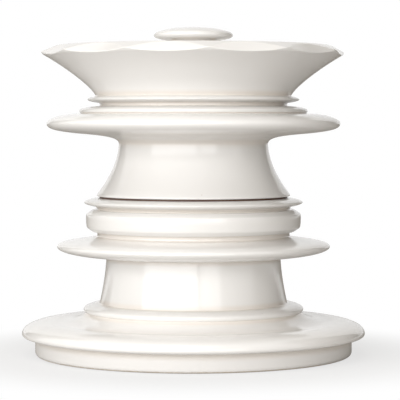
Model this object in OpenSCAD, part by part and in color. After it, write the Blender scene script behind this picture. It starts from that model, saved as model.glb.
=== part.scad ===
// Table pepper mill in the form of a chess queen, with glazed porcelain shells.
// Millimetres, +Z up, standing on z = 0 with the axis of every turned piece on Z.

/* [Base] */
// Radius of the plinth that the mill stands on
plinth_r = 58; // [54:0.5:62]
// Height of the plinth below the flange
plinth_h = 6.7; // [5.5:0.1:9]
// Radius of the rounded lower edge of the plinth
plinth_round = 1.5; // [0.8:0.1:3]
// Radius of the overhanging flange
flange_r = 62.8; // [61:0.1:70]
// Height of the flange, from the plinth to the crease on its top
flange_h = 5.8; // [5:0.1:8]
// Radius of the crease where the flange meets its cove
crease_r = 52.4; // [48:0.1:56]
// Height of the cove between the crease and the base bead
cove_h = 3.3; // [2.5:0.1:6]

/* [Lower stem] */
// Radius of the bead at the foot of the lower stem
base_bead_r = 40.3; // [38.5:0.1:46]
// Height of that bead
base_bead_h = 3.2; // [2.4:0.1:5]
// Radius at the foot of the lower stem
stem_foot_r = 34.4; // [33:0.1:37]
// Radius at the top of the lower stem
stem_top_r = 31.9; // [31:0.1:34]
// Height of the lower stem
stem_h = 17.2; // [15:0.1:26]

/* [Rings of the body] */
// Radius of the wide ring
wide_ring_r = 49.95; // [44:0.05:56]
// Height of the wide ring
wide_ring_h = 7.3; // [5.5:0.1:10]
// Radius of the grooves above and below the band
groove_r = 35.2; // [33.5:0.1:36.5]
// Height of the groove below the band
low_groove_h = 1.7; // [0.8:0.1:3]
// Height of the groove above the band
top_groove_h = 1.1; // [0.6:0.1:2]
// Radius of the band
band_r = 39.35; // [37.5:0.05:44]
// Height of the band
band_h = 8.1; // [6.5:0.1:14]
// Size of the bevels on the band
band_bevel = 1.5; // [0.6:0.1:2.5]
// Radius of the rim bead at the top of the body
rim_bead_r = 40.05; // [38:0.05:44]
// Height of the rim bead
rim_bead_h = 3.1; // [2.6:0.1:5]

/* [Upper stem] */
// Width of the open line between body and head
parting_gap = 0.6; // [0.5:0.1:1.5]
// Radius at the foot of the head
head_foot_r = 35.4; // [34.8:0.1:38]
// Height of the straight edge at the foot of the head
head_foot_h = 0.7; // [0.4:0.1:2]
// Radius at the waist of the head
waist_r = 27.3; // [27:0.1:30]
// Height from the foot of the head to its waist
waist_h = 18.6; // [16:0.1:26]

/* [Collar] */
// Radius of the collar
collar_r = 53.7; // [48:0.1:60]
// Height of the collar, from the waist to its upper side
collar_h = 10.9; // [9.5:0.1:15]
// Radius of the ring that lies on the collar
collar_ring_r = 41.8; // [39:0.1:46]
// Height of that ring
collar_ring_h = 2.7; // [2:0.1:4]
// Radius of the neck between the two rings
neck_r = 34.3; // [33.5:0.1:36]
// Height of that neck
neck_h = 1.1; // [0.6:0.1:3]
// Radius of the ring under the crown
crown_ring_r = 38.8; // [37:0.1:43]
// Height of that ring
crown_ring_h = 2.6; // [2:0.1:4]

/* [Crown] */
// Radius at the foot of the crown
crown_foot_r = 35.7; // [35:0.1:38]
// Radius of the crown at its points
crown_r = 55.7; // [53.5:0.1:60]
// Height of the crown
crown_h = 18.3; // [16:0.1:24]
// Radius of the inner edge of the crown's rim
rim_inner_r = 50.1; // [47:0.1:52]
// How far the points lie below the inner edge of the rim
rim_drop = 2.3; // [1.5:0.1:4]
// Number of scallops cut round the crown
scallops = 12; // [8:1:16]
// How far a scallop cuts in below the points, along the flare
scallop_in = 1.4; // [0.6:0.1:2]
// How far the bottom of a scallop lies below the points
scallop_drop = 1.3; // [0.6:0.1:2]
// Width of the flat point between two scallops
point_w = 0.8; // [0.4:0.1:2]
// Slope of the scallop cuts
scallop_slope = 43; // [38:1:50]
// Turn of the crown's points about the axis
scallop_turn = 5.5; // [0:0.5:29.5]
// Depth of the dish in the top of the crown
dish_depth = 4.6; // [3:0.1:6]

/* [Finial knob] */
// Radius of the finial knob
knob_r = 14.8; // [12:0.1:20]
// Height of the knob's cap
knob_cap_h = 4.8; // [4.2:0.1:8]
// Radius of the knob's neck
knob_neck_r = 7.4; // [6.2:0.1:9]
// Height of the knob's neck
knob_neck_h = 1.7; // [1.2:0.1:5]

/* [Porcelain walls] */
// Radius of the bore through the body
bore_r = 28; // [27:0.1:28.2]
// Width of the foot rim
foot_rim_w = 7; // [6:0.1:10]
// Radius of the bore through the waist of the head
waist_bore_r = 23.4; // [22:0.1:23.5]
// Depth of the socket in the foot of the head
head_socket_h = 3.5; // [3:0.1:5]
// Radius of the socket in the foot of the head
head_socket_r = 30.2; // [29:0.1:31]
// Thickness of the floor of the crown
crown_floor = 4.2; // [3.5:0.1:6]
// How far in below the points the lip of the crown begins
crown_lip_in = 0.8; // [0.5:0.1:1.5]
// How far below the points that lip begins
crown_lip_drop = 1; // [0.6:0.1:2]

/* [Chamber and bush] */
// Wall of the pepper chamber
chamber_wall = 1.7; // [1.2:0.1:2.2]
// Radius of the lip that hangs the chamber in the body
chamber_lip_r = 31; // [30:0.1:32]
// Thickness of that lip
chamber_lip_h = 2; // [1.5:0.1:3]
// Thickness of the gaskets that keep plastic off porcelain
gasket_t = 0.5; // [0.4:0.1:1]
// Length of the thread between chamber and grinder housing
thread_h = 5; // [4:0.1:7]
// Depth that the head's spigot reaches into the chamber
spigot_h = 7.7; // [6:0.1:10]
// Wall of the bush round the spigot
bush_wall = 1.9; // [1.4:0.1:2.5]
// How far the bush's flange stays inside the foot of the head
bush_recess = 1.0; // [0.6:0.1:2]
// Height of the head's plug above its socket
plug_h = 10; // [8:0.5:12]
// Wall of that plug
plug_wall = 2.5; // [2:0.1:3]
// Thickness of that plug's floor
plug_floor = 3; // [2.5:0.1:4]

/* [Grinder] */
// Outer radius of the fixed burr
stator_r = 21; // [20.5:0.1:22]
// Height of the fixed burr
stator_h = 8; // [7:0.1:9]
// Radius of the fixed burr's opening at the bottom
stator_low_r = 19.5; // [19:0.1:19.7]
// Radius of the fixed burr's opening at the top
stator_top_r = 15.5; // [14.5:0.1:16.5]
// Height of the turning burr
rotor_h = 9.5; // [9:0.1:10.5]
// Radius of the turning burr at its top
rotor_top_r = 8.2; // [7.5:0.1:9]
// Gap between the burrs at rest
burr_gap = 0.6; // [0.5:0.05:0.8]
// Number of teeth on the fixed burr
stator_teeth = 36; // [24:1:40]
// Number of teeth on the turning burr
rotor_teeth = 18; // [12:1:20]
// How far the turning burr lifts or drops from its middle setting
burr_travel = 0.6; // [0.4:0.05:0.65]
// Width of the square shaft
shaft_w = 6; // [5:0.1:6.4]
// Radius of the threaded top of the shaft
thread_r = 2.45; // [2:0.05:2.5]
// Wire radius of the burr spring
wire_r = 0.55; // [0.4:0.05:0.55]
// Turns of the burr spring
spring_turns = 3; // [2:1:3]
// Height of the burr spring at the middle setting
spring_h = 6; // [5.6:0.1:8]
// Thickness of the steel plates
plate_t = 1.2; // [1:0.1:1.6]
// Radius of the screws that hold the bridge
bridge_screw_r = 1.25; // [1:0.05:1.4]
// Length of those screws in the housing
bridge_screw_h = 6.5; // [5:0.1:7]
// Radius of the screws that hold the drive plate
drive_screw_r = 1.5; // [1.2:0.05:1.7]
// Length of those screws in the plug
drive_screw_h = 7; // [5:0.1:8]
// Width of the foot ring under the rim
foot_ring_w = 2; // [1.5:0.1:2.5]

/* [Hidden] */
$fn = 96;
eps = 0.01;
run = 0.05;        // radial clearance of turning and sliding fits
slack = 0.15;      // clearance of pieces that are only put together
face_gap = 0.1;    // gap between flat faces that turn on each other
stand = 0.1;       // how far the foot ring holds the porcelain off the table

// Levels of the outside, from the table up
z_flange = stand + plinth_h;
z_tip = z_flange + 0.22 * flange_h;
z_crease = z_flange + flange_h;
z_bead = z_crease + cove_h;
z_stem = z_bead + base_bead_h;
z_wide = z_stem + stem_h;
z_groove1 = z_wide + wide_ring_h;
z_band = z_groove1 + low_groove_h;
z_groove2 = z_band + band_h;
z_rim_bead = z_groove2 + top_groove_h;
z_body_top = z_rim_bead + rim_bead_h;
z_head = z_body_top + parting_gap;
z_waist = z_head + head_foot_h + waist_h;
z_ring2 = z_waist + collar_h;
z_neck = z_ring2 + collar_ring_h;
z_ring1 = z_neck + neck_h;
z_crown = z_ring1 + crown_ring_h;
z_rim = z_crown + crown_h;
z_dish = z_rim - dish_depth;
z_cavity = z_dish - crown_floor;
cavity_dome = 0.8; // how far the cavity's roof rises to the shaft

// The knob's seat, on the dome in the crown's dish
seat_r = 9;
z_seat = z_rim - 1;
bush_flange_t = 0.7;
washer_t = 0.5;
z_washer = z_seat + bush_flange_t;
z_knob = z_washer + washer_t + face_gap;
z_cap = z_knob + knob_neck_h;
z_top = z_cap + knob_cap_h;

// Inside of the body
lip_seat_z = z_body_top - chamber_lip_h - gasket_t;
shoulder_z = z_bead - 0.9;
pocket_r = stem_foot_r + 1.9;
rim_in_r = plinth_r - foot_rim_w;
hollow_z = z_crease - 4.4;

// Chamber, housing and burrs, measured up from the housing's flange
chamber_r = bore_r - slack;
chamber_in_r = chamber_r - chamber_wall;
flange_t = 3.4;
z_housing = shoulder_z - gasket_t - flange_t;
z_stator_top = z_housing + stator_h;
z_rotor = z_housing + 1;
z_rotor_top = z_rotor + rotor_h;
z_spring = z_rotor_top + plate_t;
z_seat_flange = z_spring + spring_h;
seat_flange_t = 1;
z_spider = z_seat_flange + seat_flange_t + face_gap;
spider_h = 3;
z_thread = z_spider + spider_h;
z_housing_top = z_thread + thread_h;
funnel_r = chamber_in_r - 0.9;
hub_r = 8.6;
seat_bush_r = 6;
stator_slope = (stator_low_r - stator_top_r) / stator_h;
rotor_r = stator_low_r - (z_rotor - z_housing) * stator_slope - burr_gap;
rotor_edge = 0.5;
throat_r = stator_top_r + 1.2;

// Bridge under the burrs
z_bridge = z_housing - plate_t;
bridge_r = bore_r - 0.6;
bridge_open_r = stator_low_r + 0.3;
bridge_hub_r = 6;
spoke_w = 4.5;
spoke_turn = 30;
bridge_screw_ring = (stator_r + chamber_r) / 2;
pilot_r = 2.6;
z_shaft = z_bridge - 1;

// Head plug, drive plate and bush
spigot_r = chamber_in_r - run * 3 - bush_wall - run;
z_spigot = z_head - spigot_h - 0.6;
bush_r = spigot_r + run + bush_wall;
drive_r = bush_r - 0.75;
z_drive = z_spigot - plate_t;
plug_top = z_head + head_socket_h + plug_h;
plug_r = waist_bore_r - 0.5;
seal_r = 0.7;
seal_groove = 1;   // depth of the plug's groove, and half its width
drive_screw_ring = 13.5;
shaft_bore = shaft_w * sqrt(2) / 2 + 0.7;

// Shaft levels
z_square = z_cavity - 1.5;
z_shaft_top = z_top - 3;
insert_r = 4.25;
z_insert_top = z_top - 1.9;
crown_hole_r = 5.2;

porcelain = "ivory";
clear = "lightcyan";
dark_plastic = "dimgray";
steel = "silver";
brass = "goldenrod";
silicone = "gainsboro";
brown = "saddlebrown";

// ---- Outline helpers ----

// Cubic curve through p[0] and p[3], drawn towards p[1] and p[2]
function curve(p, n = 12) =
    [for (i = [0:n]) let (t = i / n, u = 1 - t)
        u * u * u * p[0] + 3 * u * u * t * p[1] + 3 * u * t * t * p[2] + t * t * t * p[3]];

// Quarter of an ellipse from a to b; it leaves a level and meets b upright
function out_quarter(a, b, n = 10) =
    [for (i = [0:n]) let (t = 90 * i / n)
        [a[0] + (b[0] - a[0]) * sin(t), b[1] + (a[1] - b[1]) * cos(t)]];

// Quarter of an ellipse from a to b; it leaves a upright and meets b level
function in_quarter(a, b, n = 10) =
    [for (i = [0:n]) let (t = 90 * i / n)
        [b[0] + (a[0] - b[0]) * cos(t), a[1] + (b[1] - a[1]) * sin(t)]];

// Edge of a lens-shaped ring, from its lower root out to its tip and in to its upper root
function lens(low, tip, high, n = 7) =
    [for (i = [-n:n]) let (t = i / n, root = t < 0 ? low : high)
        [tip[0] - (tip[0] - root[0]) * t * t, tip[1] + (root[1] - tip[1]) * abs(t)]];

module ring(r_in, r_out, z, h) {
    translate([0, 0, z]) difference() {
        cylinder(r = r_out, h = h);
        translate([0, 0, -1]) cylinder(r = r_in, h = h + 2);
    }
}

module around(count, r, turn = 0) {
    for (i = [0:count - 1]) rotate([0, 0, turn + i * 360 / count]) translate([r, 0, 0]) children();
}

module square_bar(w, z, h) {
    translate([-w / 2, -w / 2, z]) cube([w, w, h]);
}

// Socket screw pointing up, with its head's upper face at z
module screw_up(z, r, h) {
    head_r = 1.85 * r;
    head_h = 1.1 * r;
    difference() {
        translate([0, 0, z - head_h]) cylinder(r = head_r, h = head_h);
        translate([0, 0, z - head_h - eps]) cylinder(r = r, h = head_h / 2, $fn = 6);
    }
    translate([0, 0, z]) cylinder(r = r, h = h);
}

// ---- Body ----

base_outline = concat(
    [[rim_in_r, stand]],
    out_quarter([plinth_r - plinth_round, stand], [plinth_r, stand + plinth_round], 6),
    curve([[plinth_r, z_flange], [plinth_r + 2.5, z_flange + 0.1],
           [flange_r, z_flange + 0.2], [flange_r, z_tip]], 8),
    curve([[flange_r, z_tip], [flange_r, z_tip + 2.9],
           [crease_r + 6.4, z_crease - 0.2], [crease_r, z_crease]], 14),
    curve([[crease_r, z_crease], [crease_r - 5.4, z_crease - 0.4],
           [base_bead_r + 1.2, z_crease + 0.6], [base_bead_r - 0.9, z_bead]], 12));

stem_outline = concat(
    out_quarter([base_bead_r - 0.9, z_bead], [base_bead_r, z_bead + base_bead_h / 3], 5),
    curve([[base_bead_r, z_bead + base_bead_h / 3], [base_bead_r - 0.1, z_stem - 0.9],
           [stem_foot_r + 3, z_stem - 0.2], [stem_foot_r, z_stem]], 10),
    curve([[stem_foot_r, z_stem], [stem_foot_r - 1.2, z_stem + 0.32 * stem_h],
           [stem_top_r + 0.25, z_stem + 0.64 * stem_h], [stem_top_r, z_wide]], 10));

z_wide_tip = z_wide + 0.48 * wide_ring_h;
rings_outline = concat(
    out_quarter([stem_top_r, z_wide], [wide_ring_r, z_wide_tip], 14),
    curve([[wide_ring_r, z_wide_tip], [wide_ring_r, z_wide + 0.81 * wide_ring_h],
           [groove_r + 5.8, z_wide + 0.78 * wide_ring_h], [groove_r, z_groove1]], 14),
    [[groove_r, z_band], [band_r - band_bevel - 1, z_band],
     [band_r - 0.35, z_band + band_bevel]],
    curve([[band_r - 0.35, z_band + band_bevel], [band_r + 0.02, z_band + 0.3 * band_h],
           [band_r + 0.02, z_band + 0.7 * band_h], [band_r - 0.1, z_groove2 - band_bevel]], 6),
    [[band_r - band_bevel - 1, z_groove2], [groove_r, z_groove2]],
    lens([groove_r + 0.6, z_rim_bead], [rim_bead_r, z_rim_bead + rim_bead_h / 2],
         [head_foot_r + 0.2, z_body_top]));

body_bore = [[chamber_lip_r + 0.3, z_body_top], [chamber_lip_r + 0.3, lip_seat_z],
             [bore_r, lip_seat_z], [bore_r, shoulder_z], [pocket_r, shoulder_z],
             [pocket_r, hollow_z + 2.8], [pocket_r + 3.2, hollow_z + 0.9],
             [rim_in_r - 3.5, hollow_z], [rim_in_r, hollow_z - 3]];

module body_shell() {
    color(porcelain) difference() {
        rotate_extrude() polygon(concat(base_outline, stem_outline, rings_outline, body_bore));
        ring(foot_groove_r - foot_ring_w / 2 - slack / 2,
             foot_groove_r + foot_ring_w / 2 + slack / 2, stand - 1, 1 + foot_groove_h);
    }
}

foot_groove_r = rim_in_r + 2.5;
foot_groove_h = 1.2;
module foot_ring() {
    color(silicone) ring(foot_groove_r - foot_ring_w / 2, foot_groove_r + foot_ring_w / 2,
                         0, stand + foot_groove_h);
}

// ---- Chamber and grinder housing ----

module pepper_chamber() {
    screw_r = chamber_r - 0.9;
    color(clear) rotate_extrude() polygon([
        [chamber_in_r, z_body_top], [chamber_in_r, z_housing_top + 1],
        [screw_r - chamber_wall, z_housing_top], [screw_r - chamber_wall, z_thread],
        [screw_r, z_thread], [screw_r, z_housing_top], [chamber_r, z_housing_top],
        [chamber_r, lip_seat_z + gasket_t], [chamber_lip_r, lip_seat_z + gasket_t],
        [chamber_lip_r, z_body_top]]);
}

module lip_gasket() {
    color(silicone) ring(bore_r + 0.1, chamber_lip_r, lip_seat_z, gasket_t);
}

module base_gasket() {
    color(silicone) ring(bore_r + 0.1, pocket_r - 0.5, shoulder_z - gasket_t, gasket_t);
}

module grinder_housing() {
    socket_r = chamber_r - 0.9 + run;
    color(dark_plastic) difference() {
        rotate_extrude() polygon([
            [stator_r + run, z_housing], [pocket_r - 0.5, z_housing],
            [pocket_r - 0.5, z_housing + flange_t], [chamber_r, z_housing + flange_t],
            [chamber_r, z_housing_top], [socket_r, z_housing_top], [socket_r, z_thread],
            [funnel_r, z_thread], [funnel_r, z_spider - 1.2], [throat_r, z_stator_top + 1.2],
            [throat_r, z_stator_top], [stator_r + run, z_stator_top]]);
        around(3, bridge_screw_ring, spoke_turn) translate([0, 0, z_housing - 1])
            cylinder(r = bridge_screw_r, h = bridge_screw_h + 1.7);
    }
    color(dark_plastic) difference() {
        union() {
            translate([0, 0, z_spider]) cylinder(r = hub_r, h = spider_h);
            around(3, 0, spoke_turn) translate([0, -spoke_w / 2, z_spider])
                cube([funnel_r + 0.2, spoke_w, spider_h]);
        }
        translate([0, 0, z_spider - 1]) cylinder(r = seat_bush_r + run, h = spider_h + 2);
    }
}

// ---- Burrs ----

// V-cut along a cone's side, from (r0, z0) to (r1, z1)
module tooth_cut(r0, z0, r1, z1, w) {
    len = norm([r1 - r0, z1 - z0]);
    translate([r0, 0, z0]) rotate([0, atan2(r1 - r0, z1 - z0), 0])
        rotate([0, 0, 45]) translate([-w / 2, -w / 2, -1]) cube([w, w, len + 2]);
}

module stator_burr() {
    color(steel) difference() {
        rotate_extrude() polygon([
            [stator_low_r, z_housing], [stator_r, z_housing], [stator_r, z_stator_top],
            [stator_top_r, z_stator_top]]);
        around(stator_teeth, 0)
            tooth_cut(stator_low_r, z_housing, stator_top_r, z_stator_top, 0.9);
    }
}

module rotor_burr() {
    color(steel) difference() {
        rotate_extrude() polygon([
            [0, z_rotor], [rotor_r, z_rotor], [rotor_r, z_rotor + rotor_edge],
            [rotor_top_r, z_rotor_top], [0, z_rotor_top]]);
        square_bar(shaft_w + 0.04, z_rotor - 1, rotor_h + 2);
        around(rotor_teeth, 0)
            tooth_cut(rotor_r, z_rotor, rotor_top_r + 0.4, z_rotor_top, 1.5);
        translate([0, 0, pin_z]) rotate([0, 90, 0])
            cylinder(r = pin_r + 0.02, h = 2 * rotor_r + 2, center = true);
    }
}

pin_r = 1;
pin_z = z_rotor + rotor_h / 2;
module rotor_pin() {
    color(steel) translate([0, 0, pin_z]) rotate([0, 90, 0])
        cylinder(r = pin_r, h = 2 * (rotor_top_r + 1), center = true);
}

module retainer_bridge() {
    color(steel) difference() {
        union() {
            ring(bridge_open_r, bridge_r, z_bridge, plate_t);
            translate([0, 0, z_bridge]) cylinder(r = bridge_hub_r, h = plate_t);
            around(3, 0, spoke_turn) translate([0, -spoke_w / 2, z_bridge])
                cube([bridge_open_r + 1, spoke_w, plate_t]);
        }
        translate([0, 0, z_bridge - 1]) cylinder(r = pilot_r + run, h = plate_t + 2);
        around(3, bridge_screw_ring, spoke_turn) translate([0, 0, z_bridge - 1])
            cylinder(r = bridge_screw_r + slack, h = plate_t + 2);
    }
}

module bridge_screws() {
    color(steel) around(3, bridge_screw_ring, spoke_turn)
        screw_up(z_bridge, bridge_screw_r, plate_t + bridge_screw_h);
}

// ---- Shaft and spring ----

module drive_shaft() {
    color(steel) difference() {
        union() {
            translate([0, 0, z_shaft]) cylinder(r = pilot_r, h = z_rotor - z_shaft);
            square_bar(shaft_w, z_rotor, z_square - z_rotor);
            translate([0, 0, z_square]) cylinder(r = thread_r, h = z_shaft_top - z_square);
        }
        translate([0, 0, pin_z]) rotate([0, 90, 0])
            cylinder(r = pin_r + 0.02, h = shaft_w + 2, center = true);
    }
}

module spring_washer() {
    color(steel) difference() {
        translate([0, 0, z_rotor_top]) cylinder(r = hub_r - 0.6, h = plate_t);
        square_bar(shaft_w + 0.2, z_rotor_top - 1, plate_t + 2);
    }
}

// A tube of the wire's radius, swept up a helix
coil_r = seat_bush_r + 0.3;
coil_steps = 24;
coil_sides = 8;
coil_rings = spring_turns * coil_steps;
function coil_point(i, j) =
    let (a = 360 * i / coil_steps, b = 360 * j / coil_sides,
         z = z_spring + wire_r + (spring_h - 2 * wire_r) * i / coil_rings,
         r = coil_r + wire_r * cos(b))
    [r * cos(a), r * sin(a), z + wire_r * sin(b)];
module burr_spring() {
    points = [for (i = [0:coil_rings]) for (j = [0:coil_sides - 1]) coil_point(i, j)];
    walls = [for (i = [0:coil_rings - 1]) for (j = [0:coil_sides - 1])
        let (k = (j + 1) % coil_sides, a = i * coil_sides, b = a + coil_sides)
        each [[a + j, a + k, b + k], [a + j, b + k, b + j]]];
    last = coil_rings * coil_sides;
    low_end = [for (j = [1:coil_sides - 2]) [0, j + 1, j]];
    high_end = [for (j = [1:coil_sides - 2]) [last, last + j, last + j + 1]];
    color(steel) polyhedron(points, concat(walls, low_end, high_end));
}

module spring_seat() {
    color(dark_plastic) difference() {
        union() {
            translate([0, 0, z_seat_flange]) cylinder(r = hub_r - 0.6, h = seat_flange_t);
            translate([0, 0, z_seat_flange]) cylinder(r = seat_bush_r,
                                                      h = z_thread - z_seat_flange);
        }
        square_bar(shaft_w + 0.1, z_seat_flange - 1, z_thread - z_seat_flange + 2);
    }
}

// ---- Bush, plug and drive plate ----

module mouth_bush() {
    color(brown) rotate_extrude() polygon([
        [spigot_r + run, z_spigot + 0.4], [bush_r, z_spigot + 0.4], [bush_r, z_body_top],
        [head_foot_r - bush_recess, z_body_top], [head_foot_r - bush_recess, z_head - face_gap],
        [spigot_r + run, z_head - face_gap]]);
}

module head_plug() {
    floor_z = z_spigot + plug_floor;
    tube_r = shaft_bore + 0.8 * plug_wall;
    color(dark_plastic) difference() {
        union() {
            difference() {
                rotate_extrude() polygon([
                    [shaft_bore, z_spigot], [spigot_r, z_spigot], [spigot_r, z_head],
                    [head_socket_r - slack, z_head], [head_socket_r - slack, z_head + head_socket_h],
                    [plug_r, z_head + head_socket_h], [plug_r, plug_seal_z - seal_groove],
                    [plug_r - seal_groove, plug_seal_z - seal_groove],
                    [plug_r - seal_groove, plug_seal_z + seal_groove],
                    [plug_r, plug_seal_z + seal_groove], [plug_r, plug_top],
                    [shaft_bore, plug_top]]);
                ring(tube_r, plug_r - plug_wall, floor_z, plug_top - floor_z + 1);
            }
            around(3, drive_screw_ring) translate([0, 0, z_spigot])
                cylinder(r = drive_screw_r + 1.9, h = drive_screw_h + 3);
        }
        around(3, drive_screw_ring) translate([0, 0, z_spigot - 1])
            cylinder(r = drive_screw_r, h = drive_screw_h + 2);
    }
}

plug_seal_z = plug_top - 3;
module plug_seal() {
    color(silicone) translate([0, 0, plug_seal_z]) rotate_extrude()
        translate([plug_r - seal_groove + seal_r + 0.02, 0]) circle(r = seal_r, $fn = 32);
}

module drive_plate() {
    color(steel) difference() {
        translate([0, 0, z_drive]) cylinder(r = drive_r, h = plate_t);
        square_bar(shaft_w + 0.2, z_drive - 1, plate_t + 2);
        around(3, drive_screw_ring) translate([0, 0, z_drive - 1])
            cylinder(r = drive_screw_r + slack, h = plate_t + 2);
    }
}

module drive_screws() {
    color(steel) around(3, drive_screw_ring)
        screw_up(z_drive, drive_screw_r, plate_t + drive_screw_h);
}

// ---- Head ----

foot_edge_z = z_head + head_foot_h;
upper_stem_outline = concat(
    [[head_foot_r - 0.2, z_head], [head_foot_r, z_head + 0.2]],
    curve([[head_foot_r, foot_edge_z], [head_foot_r - 5.2, foot_edge_z + 0.35 * waist_h],
           [waist_r + 0.3, foot_edge_z + 0.68 * waist_h], [waist_r, z_waist]], 14));

z_collar_tip = z_waist + 0.67 * collar_h;
collar_outline = concat(
    curve([[waist_r, z_waist], [waist_r, z_waist + 0.23 * collar_h],
           [waist_r + 6.7, z_waist + 0.27 * collar_h],
           [waist_r + 15.7, z_waist + 0.34 * collar_h]], 12),
    curve([[waist_r + 15.7, z_waist + 0.34 * collar_h],
           [collar_r - 4.2, z_waist + 0.41 * collar_h],
           [collar_r, z_waist + 0.46 * collar_h], [collar_r, z_collar_tip]], 12),
    in_quarter([collar_r, z_collar_tip], [collar_ring_r - 0.8, z_ring2], 12));

neck_outline = concat(
    out_quarter([collar_ring_r - 0.8, z_ring2], [collar_ring_r, z_ring2 + 0.4 * collar_ring_h], 4),
    in_quarter([collar_ring_r, z_ring2 + 0.4 * collar_ring_h], [neck_r, z_neck], 8),
    lens([neck_r, z_ring1], [crown_ring_r, z_ring1 + crown_ring_h / 2],
         [crown_foot_r, z_crown]));

z_point = z_rim - rim_drop;
flare_end = [crown_r - crown_lip_in, z_point - crown_lip_drop];
crown_outline = concat(
    curve([[crown_foot_r, z_crown], [crown_foot_r + 1.3, z_crown + 3.2],
           [flare_end[0] - 8.4, flare_end[1] - 4.7], flare_end], 14),
    [[crown_r, z_point], [rim_inner_r, z_rim]],
    curve([[rim_inner_r, z_rim], [rim_inner_r - 2.6, z_rim],
           [rim_inner_r - 3.6, z_dish], [rim_inner_r - 8, z_dish]], 8),
    curve([[22, z_dish], [17, z_dish], [13, z_seat], [seat_r, z_seat]], 8));

head_bore = [[crown_hole_r, z_seat], [crown_hole_r, z_cavity + cavity_dome],
             [12, z_cavity], [crown_foot_r + 1, z_cavity - 0.5], [neck_r - 3.8, z_ring1],
             [neck_r - 3.8, z_waist + 0.55 * collar_h], [waist_bore_r, z_waist + 2],
             [waist_bore_r, z_head + head_socket_h + 4],
             [head_socket_r - 2, z_head + head_socket_h],
             [head_socket_r, z_head + head_socket_h], [head_socket_r, z_head]];

// Circular arc across one scallop: rise between its middle and its ends
cutter_h = 24;
cut_end = asin(sin(180 / scallops) - point_w / 2 / crown_r);
cut_x = crown_r - scallop_in;
cut_z = z_point - scallop_drop;
cut_rise = (scallop_drop + (crown_r * cos(cut_end) - cut_x) * tan(scallop_slope))
           * cos(scallop_slope);
cut_chord = crown_r * sin(cut_end);
cut_r = (cut_chord * cut_chord + cut_rise * cut_rise) / (2 * cut_rise);

module head_shell() {
    color(porcelain) difference() {
        rotate_extrude() polygon(concat(upper_stem_outline, collar_outline, neck_outline,
                                        crown_outline, head_bore));
        for (i = [0:scallops - 1])
            rotate([0, 0, -90 + scallop_turn + (i + 0.5) * 360 / scallops])
                translate([cut_x, 0, cut_z]) rotate([0, scallop_slope, 0])
                    translate([0, 0, cut_r]) rotate([0, 90, 0])
                        cylinder(r = cut_r, h = cutter_h, center = true, $fn = 360);
    }
}

module crown_bush() {
    color(brass) difference() {
        union() {
            translate([0, 0, z_cavity + cavity_dome])
                cylinder(r = crown_hole_r - run, h = z_seat - z_cavity - cavity_dome);
            translate([0, 0, z_seat]) cylinder(r = seat_r - 0.8, h = bush_flange_t);
        }
        translate([0, 0, z_cavity - 1]) cylinder(r = thread_r + 0.1, h = z_top - z_cavity);
    }
}

module knob_washer() {
    color(silicone) ring(thread_r + 0.1, knob_neck_r - 0.6, z_washer, washer_t);
}

// ---- Finial ----

knob_outline = concat(
    [[knob_neck_r, z_knob]],
    curve([[knob_neck_r, z_knob + 0.5], [knob_neck_r, z_cap], [knob_r - 4.6, z_cap - 0.1],
           [knob_r - 2, z_cap + 0.55]], 8),
    curve([[knob_r - 2, z_cap + 0.55], [knob_r, z_cap + 1.1], [knob_r + 0.25, z_cap + 2],
           [knob_r - 1.2, z_cap + 0.62 * knob_cap_h]], 8),
    curve([[knob_r - 1.2, z_cap + 0.62 * knob_cap_h], [knob_r - 4.4, z_top - 0.55],
           [knob_r - 9.5, z_top], [0, z_top]], 10));

module finial_knob() {
    color(porcelain) rotate_extrude() polygon(concat(
        [[insert_r + run, z_knob]], knob_outline,
        [[0, z_insert_top + 0.1], [insert_r + run, z_insert_top + 0.1]]));
}

module finial_insert() {
    color(brass) ring(thread_r + run, insert_r, z_knob, z_insert_top - z_knob);
}

body_shell();
pepper_chamber();
lip_gasket();
grinder_housing();
base_gasket();
stator_burr();
retainer_bridge();
bridge_screws();
foot_ring();
mouth_bush();
head_shell();
head_plug();
plug_seal();
drive_plate();
drive_screws();
crown_bush();
knob_washer();
finial_knob();
finial_insert();
spring_seat();
burr_spring();
drive_shaft();
rotor_burr();
rotor_pin();
spring_washer();
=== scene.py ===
"""Glazed shells, finishes and a small studio for a pepper mill turned like a chess queen.

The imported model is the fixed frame: the shells are turned again from its own outlines, with
glazed edges, and every other piece keeps its shape and gets a finish.
"""

import math

import bpy
import numpy as np
from bpy.props import FloatProperty, FloatVectorProperty, IntProperty, PointerProperty
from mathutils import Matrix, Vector


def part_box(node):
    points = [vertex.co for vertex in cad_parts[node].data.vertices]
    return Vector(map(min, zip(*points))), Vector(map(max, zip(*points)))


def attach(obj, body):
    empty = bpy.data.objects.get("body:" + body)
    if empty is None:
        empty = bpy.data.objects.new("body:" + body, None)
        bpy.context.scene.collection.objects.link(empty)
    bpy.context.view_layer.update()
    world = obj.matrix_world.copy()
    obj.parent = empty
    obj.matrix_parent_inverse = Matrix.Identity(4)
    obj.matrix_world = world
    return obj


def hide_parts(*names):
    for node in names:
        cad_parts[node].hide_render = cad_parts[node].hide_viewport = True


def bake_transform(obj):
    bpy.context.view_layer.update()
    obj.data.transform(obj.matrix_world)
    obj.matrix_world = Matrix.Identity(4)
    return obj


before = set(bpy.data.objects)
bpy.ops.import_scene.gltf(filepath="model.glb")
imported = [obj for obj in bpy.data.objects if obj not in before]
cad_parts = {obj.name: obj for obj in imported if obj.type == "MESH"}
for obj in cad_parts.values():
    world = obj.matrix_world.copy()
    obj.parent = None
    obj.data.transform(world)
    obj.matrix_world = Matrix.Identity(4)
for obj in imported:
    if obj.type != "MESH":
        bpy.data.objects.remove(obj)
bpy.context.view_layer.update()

bl_info = {
    "name": "Porcelain pepper mill",
    "version": (1, 0, 0),
    "blender": (4, 5, 0),
    "location": "View3D > Sidebar > Mill",
    "description": "Turns the glazed shells of a pepper mill, finishes its pieces and lights it",
    "category": "Object",
}

MM = 0.001

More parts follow.
